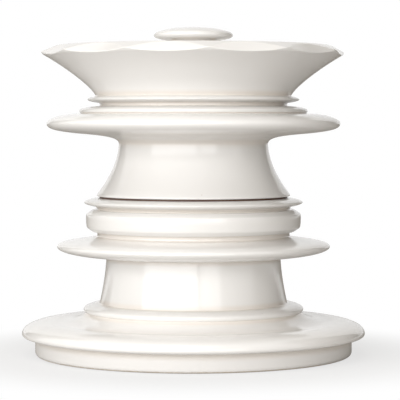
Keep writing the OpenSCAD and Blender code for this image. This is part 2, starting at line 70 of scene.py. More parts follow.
# the height that the lamps are aimed at, about the middle of the mill
MIDDLE = 0.06
# the floor under its glow
FLOOR_PALE, FLOOR_DULL = (0.64, 0.635, 0.63, 1.0), (0.60, 0.595, 0.59, 1.0)
WHITE = (1.0, 1.0, 1.0, 1.0)
DUST, DARK_DUST, CLEAR_DUST = (0.55, 0.50, 0.42, 1.0), (0.36, 0.33, 0.29, 1.0), (
    0.80, 0.76, 0.66, 1.0)


# ---- Settings ----


class MillShells(bpy.types.PropertyGroup):
    """Sizes of the turned porcelain shells that the frame doesn't give"""

    glaze_round: FloatProperty(
        name="Glaze rounding", description="How far the glaze softens an edge",
        default=0.26 * MM, min=0.05 * MM, max=1 * MM, unit="LENGTH")
    turn_step: FloatProperty(
        name="Outline step", description="Step along an outline while it is softened",
        default=0.06 * MM, min=0.05 * MM, max=0.5 * MM, unit="LENGTH")
    face_turn: FloatProperty(
        name="Turn of a face", description="Most that the outline turns across one face",
        default=math.radians(9), unit="ROTATION")
    face_length: FloatProperty(
        name="Length of a face", description="Longest face along the outline",
        default=3 * MM, unit="LENGTH")
    columns: IntProperty(
        name="Columns", description="Columns of faces round the body and the knob",
        default=240, min=48, max=720)
    scallops: IntProperty(
        name="Scallops", description="Scallops cut round the crown", default=12, min=6, max=24)
    scallop_columns: IntProperty(
        name="Columns in a scallop", description="Columns of faces across one scallop",
        default=24, min=8, max=60)
    scallop_turn: FloatProperty(
        name="Turn of the scallops", description="Turn of the crown's points about the axis",
        default=math.radians(5.5), unit="ROTATION")
    scallop_slope: FloatProperty(
        name="Slope of the scallops", description="Slope of the scallop cuts",
        default=math.radians(43), unit="ROTATION")
    scallop_in: FloatProperty(
        name="Scallop depth", description="How far a scallop cuts in below the points",
        default=1.4 * MM, unit="LENGTH")
    scallop_drop: FloatProperty(
        name="Scallop drop", description="How far the bottom of a scallop lies below the points",
        default=1.3 * MM, unit="LENGTH")
    point_w: FloatProperty(
        name="Point width", description="Width of the flat point between two scallops",
        default=0.8 * MM, unit="LENGTH")
    lip_in: FloatProperty(
        name="Lip depth", description="How far in below the points the flare's lip begins",
        default=0.8 * MM, unit="LENGTH")
    lip_drop: FloatProperty(
        name="Lip height", description="How far below the points the flare's lip begins",
        default=1.0 * MM, unit="LENGTH")
    spring_turns: IntProperty(
        name="Turns of the spring", description="Turns of the burr spring", default=3, min=2,
        max=6)


def colour(name, what, default):
    """A colour setting; its values are linear, as a shader takes them."""
    return FloatVectorProperty(name=name, description=what, default=default, size=3,
                               subtype="COLOR", min=0, max=1)


class MillColours(bpy.types.PropertyGroup):
    """Colours of the mill's materials"""

    glaze: colour("Glaze", "White glaze over porcelain", (0.82, 0.812, 0.800))
    # the pooled glaze colour also paints shade into the grooves: partly pooled glaze, partly
    # painted shade
    pooled_glaze_and_shade: colour("Pooled and shaded glaze", "Glaze where it lies thick in a groove",
                       (0.78, 0.735, 0.685))
    bisque: colour("Bisque", "Bare porcelain of the foot rim", (0.70, 0.63, 0.54))
    clear: colour("Clear plastic", "Pepper chamber", (0.93, 0.96, 0.97))
    dark: colour("Dark plastic", "Housing, plug and spring seat", (0.020, 0.020, 0.022))
    brown: colour("Brown plastic", "Mouth bush", (0.085, 0.036, 0.020))
    steel: colour("Steel", "Shaft, burrs, plates and screws", (0.56, 0.56, 0.57))
    brass: colour("Brass", "Crown bush and knob insert", (0.72, 0.50, 0.22))
    silicone: colour("Silicone", "Gaskets, seal, washer and foot ring", (0.62, 0.60, 0.56))


class MillStudio(bpy.types.PropertyGroup):
    """Floor, lamps and camera"""

    floor_size: FloatProperty(name="Floor", description="Width of the floor", default=4.0,
                              unit="LENGTH")
    key_power: FloatProperty(name="Key power", description="Power of the wide key lamp, in watts",
                             default=9.4)
    fill_power: FloatProperty(name="Fill power", description="Power of the weak fill lamp",
                              default=2.1)
    top_power: FloatProperty(name="Top power", description="Power of the lamp overhead",
                             default=4.0)
    room: FloatVectorProperty(name="Room", description="Colour of the light from the room",
                              default=(0.30, 0.262, 0.21), size=3, subtype="COLOR", min=0,
                              max=1)
    floor_glow: FloatProperty(
        name="Floor glow", description="Share of plain white in what the camera sees of the floor",
        default=0.7, min=0, max=1, subtype="FACTOR")
    lens: FloatProperty(name="Lens", description="Focal length of the camera in millimetres",
                        default=176.4)
    distance: FloatProperty(name="Distance", description="From the camera to the mill's axis",
                            default=0.718, unit="LENGTH")
    eye: FloatProperty(name="Eye height", description="Height of the camera above the floor",
                       default=0.0857, unit="LENGTH")
    side: FloatProperty(name="Side step", description="How far the camera stands to the right",
                        default=2.4 * MM, unit="LENGTH")
    pitch: FloatProperty(name="Pitch", description="How far the camera looks down",
                         default=math.radians(2.31), unit="ROTATION")


class MillSettings(bpy.types.PropertyGroup):
    """All settings of the mill"""

    shells: PointerProperty(type=MillShells)
    colours: PointerProperty(type=MillColours)
    studio: PointerProperty(type=MillStudio)


# ---- Outlines, as chains of (radius, height) ----


def outline_chain(node, keep=None):
    """The outline of a turned node, walked from its mesh. keep says which points to follow;
    where some are left out, the chain runs from one open end to the other."""
    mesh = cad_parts[node].data
    co = np.zeros(len(mesh.vertices) * 3)
    mesh.vertices.foreach_get("co", co)
    co = co.reshape(-1, 3)
    flat = np.column_stack([np.hypot(co[:, 0], co[:, 1]), co[:, 2]])
    names, points = {}, []
    index = np.zeros(len(flat), int)
    near = 2e-6
    for i, p in enumerate(flat):
        cell = (round(p[0] / near), round(p[1] / near))
        around = [(cell[0] + a, cell[1] + b) for a in (-1, 0, 1) for b in (-1, 0, 1)]
        found = next((names[c] for c in around if c in names), None)
        if found is None:
            found = names[cell] = len(points)
            points.append(p)
        index[i] = found
    links = {}
    for a, b in (e.vertices for e in mesh.edges):
        a, b = index[a], index[b]
        if a != b and (keep is None or keep(*points[a]) and keep(*points[b])):
            links.setdefault(a, set()).add(b)
            links.setdefault(b, set()).add(a)
    forks = [points[i] for i, s in links.items() if len(s) > 2]
    if forks:
        raise RuntimeError(f"{node} isn't a turned piece at {forks[:3]}")
    ends = [i for i, s in links.items() if len(s) == 1]
    start = max(ends, key=lambda i: points[i][0]) if ends else min(links)
    chain, last, here = [], None, start
    while here is not None and (here != start or last is None):
        chain.append(points[here])
        onward = [i for i in sorted(links[here]) if i != last]
        last, here = here, (onward[0] if onward else None)
    return np.array(chain), not ends


def even_steps(points, count):
    """count + 1 points at equal steps along a line of points."""
    along = np.r_[0, np.cumsum(np.linalg.norm(np.diff(points, axis=0), axis=1))]
    even = np.linspace(0, along[-1], count + 1)
    return np.column_stack([np.interp(even, along, points[:, k]) for k in (0, 1)])


def line_length(points):
    """The length of a line of points."""
    return np.linalg.norm(np.diff(points, axis=0), axis=1).sum()


def softened(rows, closed, width, step):
    """Outlines of evenly spaced points, softened along their length by a bell curve."""
    reach = int(math.ceil(3 * width / step))
    bell = np.exp(-0.5 * (np.arange(-reach, reach + 1) * step / width) ** 2)
    bell /= bell.sum()
    if closed:
        padded = np.concatenate([rows[:, -reach:], rows, rows[:, :reach]], 1)
    else:
        first = 2 * rows[:, :1] - rows[:, reach:0:-1]
        final = 2 * rows[:, -1:] - rows[:, -2:-reach - 2:-1]
        padded = np.concatenate([first, rows, final], 1)
    count = rows.shape[1]
    return sum(bell[k] * padded[:, k:k + count] for k in range(len(bell)))


def bends(points, closed):
    """How far the outline turns at each point, to the left counted as positive."""
    a, b = points - np.roll(points, 1, 0), np.roll(points, -1, 0) - points
    turn = np.arctan2(a[:, 0] * b[:, 1] - a[:, 1] * b[:, 0], (a * b).sum(1))
    if not closed:
        turn[[0, -1]] = 0
    return turn


def groove_pool_and_shade(points, closed, step):
    """How thick the glaze lies, and how much shade is painted there: above 0 in a groove of a
    counterclockwise outline, below 0 on an edge."""
    width = 0.8 * MM
    reach = int(3 * width / step)
    bell = np.exp(-0.5 * (np.arange(-reach, reach + 1) * step / width) ** 2)
    turn = bends(points, closed)
    ends = (turn[-reach:], turn[:reach]) if closed else (np.zeros(reach), np.zeros(reach))
    return np.clip(-np.convolve(np.r_[ends[0], turn, ends[1]], bell, "valid"), -1, 1)


def chosen(turn, step, max_turn, max_length):
    """Which of the evenly spaced points to keep, so that no face turns or reaches too far."""
    need = np.cumsum(np.abs(turn) / max_turn + step / max_length)
    keep = np.diff(np.floor(need), prepend=-1) > 0
    keep[[0, -1]] = True
    return keep


# ---- Meshes ----


def new_piece(name, verts, faces, normals=None, pool_and_shade=None):
    """A smooth mesh object; normals and the glaze's thickness, which also sets the painted
    shade in grooves, are given per point.
    """
    mesh = bpy.data.meshes.new(name)
    mesh.from_pydata([tuple(v) for v in verts], [], faces)
    mesh.polygons.foreach_set("use_smooth", [True] * len(mesh.polygons))
    if pool_and_shade is not None:
        # pooled glaze and painted shade in the grooves, per point
        attribute = mesh.attributes.new("pooled_glaze_and_shade", "FLOAT", "POINT")
        attribute.data.foreach_set("value", np.asarray(pool_and_shade, np.float32))
    if normals is not None:
        mesh.normals_split_custom_set_from_vertices([tuple(n) for n in normals])
    piece = bpy.data.objects.new(name, mesh)
    bpy.context.scene.collection.objects.link(piece)
    return piece


def turned(name, rows, pool_and_shade, angles, closed, keep):
    """A turned piece. rows[j] is the outline at angles[j], of which the kept points are used;
    an open outline begins and ends on the axis, where each end becomes one point."""
    turns = len(angles)
    cos, sin = np.cos(angles)[:, None], np.sin(angles)[:, None]
    place = np.stack([rows[..., 0] * cos, rows[..., 0] * sin, rows[..., 1]], -1)
    along = np.roll(place, -1, 1) - np.roll(place, 1, 1)
    if not closed:
        along[:, [0, -1]] = place[:, [1, -1]] - place[:, [0, -2]]
    around = np.roll(place, -1, 0) - np.roll(place, 1, 0)
    place, along, around, pool_and_shade = place[:, keep], along[:, keep], around[:, keep], pool_and_shade[:, keep]
    if not closed:
        around[:, 0], around[:, -1] = around[:, 1], around[:, -2]
    normal = np.cross(around, along)
    normal /= np.linalg.norm(normal, axis=-1, keepdims=True)
    count = place.shape[1]
    faces = []
    if closed:
        for j in range(turns):
            a, b = j * count, (j + 1) % turns * count
            for i in range(count):
                k = (i + 1) % count
                faces.append((a + i, b + i, b + k, a + k))
        return new_piece(name, place.reshape(-1, 3), faces, normal.reshape(-1, 3),
                         pool_and_shade.reshape(-1))
    inner = count - 2
    first, last = turns * inner, turns * inner + 1
    for j in range(turns):
        a, b = j * inner, (j + 1) % turns * inner
        faces.append((first, b, a))
        faces += [(a + i, b + i, b + i + 1, a + i + 1) for i in range(inner - 1)]
        faces.append((last, a + inner - 1, b + inner - 1))

    def ends_joined(values):
        return np.concatenate([values[:, 1:-1].reshape(-1, *values.shape[2:]),
                               values[:, 0].mean(0)[None], values[:, -1].mean(0)[None]])

    return new_piece(name, ends_joined(place), faces, ends_joined(normal), ends_joined(pool_and_shade))


def is_clockwise(points):
    x, y = points[:, 0], points[:, 1]
    return (x * np.roll(y, -1) - np.roll(x, -1) * y).sum() < 0


# ---- Shader tools ----


def group(name, inputs, outputs):
    """A new shader node group with its input and output nodes."""
    tree = bpy.data.node_groups.new(name, "ShaderNodeTree")
    for label, kind, default in inputs:
        socket = tree.interface.new_socket(label, in_out="INPUT", socket_type=kind)
        if default is not None:
            socket.default_value = default
    for label, kind in outputs:
        tree.interface.new_socket(label, in_out="OUTPUT", socket_type=kind)
    return tree, tree.nodes.new("NodeGroupInput"), tree.nodes.new("NodeGroupOutput")


def add(tree, kind, settings=(), **inputs):
    """A node with its settings and with values or links on its inputs."""
    node = tree.nodes.new(kind)
    for key, value in dict(settings).items():
        setattr(node, key, value)
    for key, value in inputs.items():
        socket = node.inputs[int(key[1:])] if key[0] == "i" and key[1:].isdigit() \
            else node.inputs[key.replace("_", " ")]
        if isinstance(value, bpy.types.NodeSocket):
            tree.links.new(value, socket)
        else:
            socket.default_value = value
    return node


def maths(tree, operation, a, b=0.0, clamp=False):
    node = add(tree, "ShaderNodeMath", {"operation": operation, "use_clamp": clamp}, i0=a, i1=b)
    return node.outputs[0]


def mixed(tree, factor, a, b, blend="MIX"):
    """Colours a and b mixed by factor."""
    node = tree.nodes.new("ShaderNodeMix")
    node.data_type = "RGBA"
    node.blend_type = blend
    for socket, value in ((node.inputs[0], factor), (node.inputs[6], a), (node.inputs[7], b)):
        if isinstance(value, bpy.types.NodeSocket):
            tree.links.new(value, socket)
        else:
            socket.default_value = value
    return node.outputs[2]


def ramp(tree, value, low, high, to_low=0.0, to_high=1.0):
    """value from low..high mapped smoothly to to_low..to_high."""
    node = add(tree, "ShaderNodeMapRange", {"interpolation_type": "SMOOTHSTEP"}, i0=value,
               i1=low, i2=high, i3=to_low, i4=to_high)
    return node.outputs[0]


def noise(tree, place, scale, detail=3.0, roughness=0.5):
    return add(tree, "ShaderNodeTexNoise", {"noise_dimensions": "3D"}, Vector=place, Scale=scale,
               Detail=detail, Roughness=roughness).outputs[0]


def object_place(tree):
    return tree.nodes.new("ShaderNodeTexCoord").outputs["Object"]


def from_axis(tree, split):
    """The distance from the Z axis, from a Separate XYZ node."""
    squares = [maths(tree, "POWER", split.outputs[k], 2.0) for k in "XY"]
    return maths(tree, "SQRT", maths(tree, "ADD", *squares))


def rgba(values):
    return (*values, 1.0)


# ---- Shader groups ----


def glaze_group():
    """Colour, roughness and relief of a white glaze: grooves darker and warmer, partly
    pooled glaze and partly painted shade, with a slow wave, faint specks and a bare foot rim."""
    tree, into, out = group(
        "glaze",
        [("Glaze", "NodeSocketColor", None), ("Pooled and shaded", "NodeSocketColor", None),
         ("Bisque", "NodeSocketColor", None), ("Roughness", "NodeSocketFloat", 0.12),
         ("Bare below", "NodeSocketFloat", -1.0)],
        [("Color", "NodeSocketColor"), ("Roughness", "NodeSocketFloat"),
         ("Height", "NodeSocketFloat"), ("Bare", "NodeSocketFloat")])
    place = object_place(tree)
    pool_and_shade = add(tree, "ShaderNodeAttribute", {"attribute_name": "pooled_glaze_and_shade"}).outputs["Fac"]
    slow = noise(tree, place, 26.0, 2.0)
    fine = noise(tree, place, 420.0, 3.0)
    # grooves darker and warmer: pooled glaze and painted shade; the slow wave shifts how much
    drift = maths(tree, "MULTIPLY", maths(tree, "SUBTRACT", slow, 0.5), 0.25)
    depth = maths(tree, "ADD", ramp(tree, pool_and_shade, 0.05, 0.9, 0.0, 0.85), drift, clamp=True)
    pool_shade_tint = mixed(tree, depth, into.outputs["Glaze"], into.outputs["Pooled and shaded"])
    # faint iron specks
    cells = add(tree, "ShaderNodeTexVoronoi", {"feature": "F1"}, Vector=place, Scale=330.0,
                Randomness=1.0)
    chance = ramp(tree, add(tree, "ShaderNodeSeparateColor", (), Color=cells.outputs["Color"])
                  .outputs[0], 0.975, 0.985)
    dot = ramp(tree, cells.outputs["Distance"], 0.05, 0.11, 1.0, 0.0)
    speck = maths(tree, "MULTIPLY", maths(tree, "MULTIPLY", chance, dot), 0.22)
    specked = mixed(tree, speck, pool_shade_tint, (0.30, 0.20, 0.12, 1))
    # bare foot rim
    height = add(tree, "ShaderNodeSeparateXYZ", (), Vector=place).outputs["Z"]
    edge = maths(tree, "ADD", height, maths(tree, "MULTIPLY", maths(tree, "SUBTRACT", fine, 0.5),
                                            0.0006))
    over = maths(tree, "SUBTRACT", edge, into.outputs["Bare below"])
    bare = ramp(tree, over, -0.00008, 0.00018, 1.0, 0.0)
    grain = noise(tree, place, 1900.0, 4.0, 0.65)
    bisque = mixed(tree, ramp(tree, grain, 0.3, 0.75, 0.0, 0.35), into.outputs["Bisque"],
                   (0.42, 0.34, 0.26, 1))
    final = mixed(tree, bare, specked, bisque)
    rough = maths(tree, "ADD", into.outputs["Roughness"],
                  maths(tree, "MULTIPLY", maths(tree, "SUBTRACT", slow, 0.5), 0.05))
    rough = maths(tree, "ADD", rough, maths(tree, "MULTIPLY", bare, 0.62), clamp=True)
    wave = maths(tree, "ADD", slow, maths(tree, "MULTIPLY", fine, 0.025))
    relief = maths(tree, "ADD", wave, maths(tree, "MULTIPLY",
                                            maths(tree, "MULTIPLY", grain, bare), 0.35))
    for label, value in (("Color", final), ("Roughness", rough), ("Height", relief),
                         ("Bare", bare)):
        tree.links.new(value, out.inputs[label])
    return tree


def turned_metal_group():
    """Fine rings round the Z axis, as a lathe leaves them, with a slow drift and small stains."""
    tree, into, out = group(
        "turned_metal",
        [("Metal", "NodeSocketColor", None), ("Dull", "NodeSocketColor", None),
         ("Roughness", "NodeSocketFloat", 0.28), ("Ring scale", "NodeSocketFloat", 5200.0)],
        [("Color", "NodeSocketColor"), ("Roughness", "NodeSocketFloat"),
         ("Height", "NodeSocketFloat")])
    place = object_place(tree)
    split = add(tree, "ShaderNodeSeparateXYZ", (), Vector=place)
    rings = add(tree, "ShaderNodeCombineXYZ", (), X=from_axis(tree, split), Y=0.0,
                Z=split.outputs["Z"])
    lines = noise(tree, rings.outputs[0], into.outputs["Ring scale"], 2.0)
    slow = noise(tree, place, 120.0, 3.0)
    stain = ramp(tree, noise(tree, place, 260.0, 4.0, 0.6), 0.52, 0.72)
    tone = mixed(tree, maths(tree, "MULTIPLY", stain, 0.35), into.outputs["Metal"],
                 into.outputs["Dull"])
    bright = mixed(tree, maths(tree, "MULTIPLY", lines, 0.22), tone, (0.20, 0.20, 0.20, 1),
                   "MULTIPLY")
    rough = maths(tree, "ADD", into.outputs["Roughness"],
                  maths(tree, "MULTIPLY", maths(tree, "SUBTRACT", slow, 0.5), 0.22))
    rough = maths(tree, "ADD", rough, maths(tree, "MULTIPLY", lines, 0.10), clamp=True)
    for label, value in (("Color", bright), ("Roughness", rough), ("Height", lines)):
        tree.links.new(value, out.inputs[label])
    return tree


def moulded_group():
    """Fine spark-eroded texture of moulded plastic or silicone, with a little dust."""
    tree, into, out = group(
        "moulded",
        [("Base", "NodeSocketColor", None), ("Dust", "NodeSocketColor", None),
         ("Roughness", "NodeSocketFloat", 0.45), ("Dust amount", "NodeSocketFloat", 0.15),
         ("Grain scale", "NodeSocketFloat", 2600.0)],
        [("Color", "NodeSocketColor"), ("Roughness", "NodeSocketFloat"),
         ("Height", "NodeSocketFloat")])
    place = object_place(tree)
    grain = noise(tree, place, into.outputs["Grain scale"], 3.0, 0.6)
    slow = noise(tree, place, 90.0, 3.0)
    dust = maths(tree, "MULTIPLY", ramp(tree, slow, 0.45, 0.75), into.outputs["Dust amount"])
    tone = mixed(tree, dust, into.outputs["Base"], into.outputs["Dust"])
    rough = maths(tree, "ADD", into.outputs["Roughness"],
                  maths(tree, "MULTIPLY", maths(tree, "SUBTRACT", grain, 0.5), 0.18))
    rough = maths(tree, "ADD", rough, maths(tree, "MULTIPLY", dust, 0.4), clamp=True)
    for label, value in (("Color", tone), ("Roughness", rough), ("Height", grain)):
        tree.links.new(value, out.inputs[label])
    return tree


GROUPS = {}


def shared(name):
    """A shader group, built once."""
    if name not in GROUPS:
        GROUPS[name] = {"glaze": glaze_group, "turned_metal": turned_metal_group,
                        "moulded": moulded_group}[name]()
    return GROUPS[name]


def material(name, group_name, values, relief, metallic=0.0, **shader):
    """A material whose colour, roughness and relief come from a shared group. relief is the
    bump's strength and distance; shader holds plain values of the surface itself."""
    found = bpy.data.materials.get("mill_" + name)
    if found:
        return found
    made = bpy.data.materials.new("mill_" + name)
    made.use_nodes = True
    tree = made.node_tree
    surface = tree.nodes["Principled BSDF"]
    effect = tree.nodes.new("ShaderNodeGroup")
    effect.node_tree = shared(group_name)
    for key, value in values.items():
        effect.inputs[key].default_value = value
    tree.links.new(effect.outputs["Color"], surface.inputs["Base Color"])
    tree.links.new(effect.outputs["Roughness"], surface.inputs["Roughness"])
    strength, distance = relief
    bump = add(tree, "ShaderNodeBump", (), Height=effect.outputs["Height"], Strength=strength,
               Distance=distance)
    tree.links.new(bump.outputs["Normal"], surface.inputs["Normal"])
    surface.inputs["Metallic"].default_value = metallic
    for key, value in shader.items():
        surface.inputs[key.replace("_", " ")].default_value = value
    return made


def dress(nodes, finish):
    """The finish on every slot of these CAD nodes."""
    for name in nodes:
        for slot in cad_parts[name].material_slots:
            slot.material = finish


def settings():
    return bpy.context.scene.mill


def glaze(bare_below=-1.0):
    c = settings().colours
    return material(
        "glaze" if bare_below < 0 else "glaze_with_foot", "glaze",
        {"Glaze": rgba(c.glaze), "Pooled and shaded": rgba(c.pooled_glaze_and_shade), "Bisque": rgba(c.bisque),
         "Roughness": 0.13, "Bare below": bare_below},
        (0.30, 0.0006), IOR=1.52)


def finish_shell(piece, node, body, finish):
    """The glazed shell in place of its CAD node."""
    piece.data.materials.append(finish)
    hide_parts(node)
    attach(piece, body)
    return piece


def turn_shell(name, node, body, finish):
    """A turned shell from a node's own outline, with the edges that a glaze softens."""
    sizes = settings().shells
    chain, closed = outline_chain(node)
    line = np.vstack([chain, chain[:1]]) if closed else chain
    if is_clockwise(chain):
        line = line[::-1]
    fine = even_steps(line, int(line_length(line) / sizes.turn_step))
    if closed:
        fine = fine[:-1]
    fine = softened(fine[None], closed, sizes.glaze_round, sizes.turn_step)[0]
    if not closed:
        fine[[0, -1], 0] = 0
    keep = chosen(bends(fine, closed), sizes.turn_step, sizes.face_turn, sizes.face_length)
    # the groove value sets pooled glaze and painted shade in the glaze
    pool_and_shade = groove_pool_and_shade(fine, closed, sizes.turn_step)
    angles = np.arange(sizes.columns) * 2 * math.pi / sizes.columns
    piece = turned(name, np.repeat(fine[None], len(angles), 0),
                   np.repeat(pool_and_shade[None], len(angles), 0), angles, closed, keep)
    return finish_shell(piece, node, body, finish)


def scallop_floor(sizes, crown_r, point_z):
    """The height of a scallop's floor by radius and by angle from the scallop's middle. The
    scallop is the side of a wide cylinder whose axis slopes down outward."""
    half = math.pi / sizes.scallops
    end = math.asin(math.sin(half) - sizes.point_w / 2 / crown_r)
    cut_r, cut_z = crown_r - sizes.scallop_in, point_z - sizes.scallop_drop
    slope = sizes.scallop_slope
    rise = (sizes.scallop_drop
            + (crown_r * math.cos(end) - cut_r) * math.tan(slope)) * math.cos(slope)
    chord = crown_r * math.sin(end)
    radius = (chord * chord + rise * rise) / (2 * rise)

    def floor(r, turn):
        y = r * math.sin(turn)
        sag = radius - np.sqrt(radius * radius - y * y)
        return cut_z + (cut_r - r * math.cos(turn)) * math.tan(slope) + sag / math.cos(slope)

    return floor


def crown_edge(floor, turn, rim, corner, lip, flare):
    """The crown's outline from the rim out over the scallop and down to the flare."""
    r = np.linspace(flare[0], corner[0], 400)
    under = np.interp(r, [flare[0], lip[0], corner[0]], [flare[1], lip[1], corner[1]])
    over = np.minimum(np.interp(r, [rim[0], corner[0]], [rim[1], corner[1]]), floor(r, turn))
    last = np.flatnonzero(over >= under)[-1]
    if last < len(r) - 1:
        gap = over - under
        share = gap[last] / (gap[last] - gap[last + 1])
        edge_r = r[last] + share * (r[last + 1] - r[last])
    else:
        edge_r = corner[0]
    out = np.linspace(rim[0], edge_r, 300)
    top = np.minimum(np.interp(out, [rim[0], corner[0]], [rim[1], corner[1]]), floor(out, turn))
    back = np.linspace(edge_r, flare[0], 200)[1:]
    low = np.interp(back, [flare[0], lip[0], corner[0]], [flare[1], lip[1], corner[1]])
    return np.column_stack([np.r_[out, back], np.r_[top, low]])


def softened_round(rows, angles, width):
    """The rows of a turned piece, softened from column to column; width is an angle."""
    apart = (angles[:, None] - angles[None] + math.pi) % (2 * math.pi) - math.pi
    share = (np.roll(angles, -1) - np.roll(angles, 1)) % (2 * math.pi)
    weight = np.exp(-0.5 * (apart / width) ** 2) * share
    weight /= weight.sum(1, keepdims=True)
    return np.einsum("ij,jkl->ikl", weight, rows, optimize=True)


# ---- Operators ----


class MILL_OT_body_shell(bpy.types.Operator):
    """Turn the glazed body shell, with its bare foot rim"""

    bl_idname = "mill.body_shell"
    bl_label = "Body shell"

    def execute(self, context):
        low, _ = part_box("body_shell")
        turn_shell("porcelain_body", "body_shell", "body", glaze(low.z + 0.5 * MM))
        return {"FINISHED"}


class MILL_OT_head_shell(bpy.types.Operator):
    """Turn the glazed head shell and cut the scallops round its crown"""

    bl_idname = "mill.head_shell"
    bl_label = "Head shell"

    def execute(self, context):
        sizes = settings().shells
        step = sizes.turn_step
        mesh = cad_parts["head_shell"].data
        spots = np.array([(math.hypot(v.co.x, v.co.y), v.co.z) for v in mesh.vertices])
        corner = spots[spots[:, 0].argmax()]
        rim_r = spots[spots[:, 1] > spots[:, 1].max() - 1e-6, 0].max()
        below = corner[1] - sizes.scallop_drop - 0.25 * MM
        chain, closed = outline_chain(
            "head_shell", keep=lambda r, z: z < below or r < rim_r + 2e-6)
        if closed:
            raise RuntimeError("the crown's edge was not found")
        flare, rim = chain[0], chain[-1]
        lip = corner - np.array([sizes.lip_in, sizes.lip_drop])
        floor = scallop_floor(sizes, *corner)
        half, per = math.pi / sizes.scallops, sizes.scallop_columns
        turns = half * np.sin(math.pi / 2 * (2 * np.arange(per) / per - 1))
        base = even_steps(chain, int(line_length(chain) / step))
        edges = [crown_edge(floor, t, rim, corner, lip, flare) for t in turns]
        count = int(max(line_length(e) for e in edges) / step)
        rows = np.array([np.vstack([base[:-1], even_steps(e, count)[:-1]])[::-1] for e in edges])
        rows = softened(rows, True, sizes.glaze_round, step)
        middles = sizes.scallop_turn - math.pi / 2 + half * (2 * np.arange(sizes.scallops) + 1)
        angles = (middles[:, None] + turns).reshape(-1)
        keep = chosen(np.max([np.abs(bends(r, True)) for r in rows], 0), step,
                      sizes.face_turn, sizes.face_length)
        # the groove value sets pooled glaze and painted shade in the glaze
        pool_and_shade = np.array([groove_pool_and_shade(r, True, step) for r in rows])
        rows = softened_round(np.tile(rows, (sizes.scallops, 1, 1)), angles,
                              sizes.glaze_round / corner[0])
        piece = turned("porcelain_head", rows, np.tile(pool_and_shade, (sizes.scallops, 1)), angles, True,
                       keep)
        finish_shell(piece, "head_shell", "head", glaze())
        return {"FINISHED"}


class MILL_OT_finial_knob(bpy.types.Operator):
    """Turn the glazed finial knob"""

    bl_idname = "mill.finial_knob"
    bl_label = "Finial knob"

    def execute(self, context):
        turn_shell("porcelain_knob", "finial_knob", "knob", glaze())
        return {"FINISHED"}


class MILL_OT_burr_spring(bpy.types.Operator):
    """Wind the burr spring from round wire with chamfered ends"""

    bl_idname = "mill.burr_spring"
    bl_label = "Burr spring"

    def execute(self, context):
        sizes = settings().shells
        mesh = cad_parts["burr_spring"].data
        across = [math.hypot(v.co.x, v.co.y) for v in mesh.vertices]
        low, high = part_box("burr_spring")
        coil, wire = (max(across) + min(across)) / 2, (max(across) - min(across)) / 2
        turns, sides = sizes.spring_turns, 20
        steps = turns * 64
        # the wire narrows over its last steps to a chamfered end
        path = np.r_[0.0, 0.0, np.arange(1, steps), steps, steps]
        width = np.r_[0.55, 0.8, np.ones(steps - 1), 0.8, 0.55] * wire
        path[[1, -2]] = 0.12, steps - 0.12
        verts = []
        for i, w in zip(path, width):
            a = 2 * math.pi * i / steps * turns
            z = low.z + wire + (high.z - low.z - 2 * wire) * i / steps
            for j in range(sides):
                b = 2 * math.pi * j / sides
                r = coil + w * math.cos(b)
                verts.append((r * math.cos(a), r * math.sin(a), z + w * math.sin(b)))
        rings = len(path)
        faces = [(i * sides + j, i * sides + (j + 1) % sides,
                  (i + 1) * sides + (j + 1) % sides, (i + 1) * sides + j)
                 for i in range(rings - 1) for j in range(sides)]
        faces.append(tuple(range(sides))[::-1])
        faces.append(tuple((rings - 1) * sides + j for j in range(sides)))
        piece = new_piece("coil_spring", verts, faces)
        piece.data.materials.append(steel("spring_steel", 0.22, 9000.0))
        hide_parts("burr_spring")
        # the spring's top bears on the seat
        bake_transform(piece)
        return {"FINISHED"}


class MILL_OT_plastics(bpy.types.Operator):
    """Finish the moulded plastic pieces"""

    bl_idname = "mill.plastics"
    bl_label = "Plastic pieces"

    def execute(self, context):
        c = settings().colours
        clear = material("clear_plastic", "moulded",
                         {"Base": rgba(c.clear), "Dust": CLEAR_DUST,
                          "Roughness": 0.10, "Dust amount": 0.25, "Grain scale": 900.0},
                         (0.10, 0.0001), IOR=1.49, Transmission_Weight=1.0)
        dark = material("dark_plastic", "moulded",
                        {"Base": rgba(c.dark), "Dust": DUST, "Roughness": 0.42,
                         "Dust amount": 0.10, "Grain scale": 2600.0}, (0.35, 0.00006), IOR=1.5)
        brown = material("brown_plastic", "moulded",
                         {"Base": rgba(c.brown), "Dust": DUST, "Roughness": 0.48,
                          "Dust amount": 0.14, "Grain scale": 2200.0}, (0.35, 0.00006), IOR=1.5)
        dress(["pepper_chamber"], clear)
        dress(["grinder_housing", "head_plug", "spring_seat"], dark)
        dress(["mouth_bush"], brown)
        return {"FINISHED"}


class MILL_OT_metals(bpy.types.Operator):
    """Finish the steel and brass pieces"""

    bl_idname = "mill.metals"
    bl_label = "Metal pieces"

    def execute(self, context):
        c = settings().colours
        brass = material("brass", "turned_metal",
                         {"Metal": rgba(c.brass), "Dull": (0.42, 0.27, 0.11, 1.0),
                          "Roughness": 0.26, "Ring scale": 4200.0},
                         (0.25, 0.00003), metallic=1.0)
        dress(["crown_bush", "finial_insert"], brass)
        dress(["drive_shaft", "rotor_pin"], steel("shaft_steel", 0.24, 3600.0))
        dress(["retainer_bridge", "drive_plate", "spring_washer"],
              steel("plate_steel", 0.34, 5200.0))
        dress(["bridge_screws", "drive_screws"], steel("screw_steel", 0.22, 8000.0))
        dress(["stator_burr", "rotor_burr"], steel("burr_steel", 0.46, 6400.0, dark=0.45))
        return {"FINISHED"}


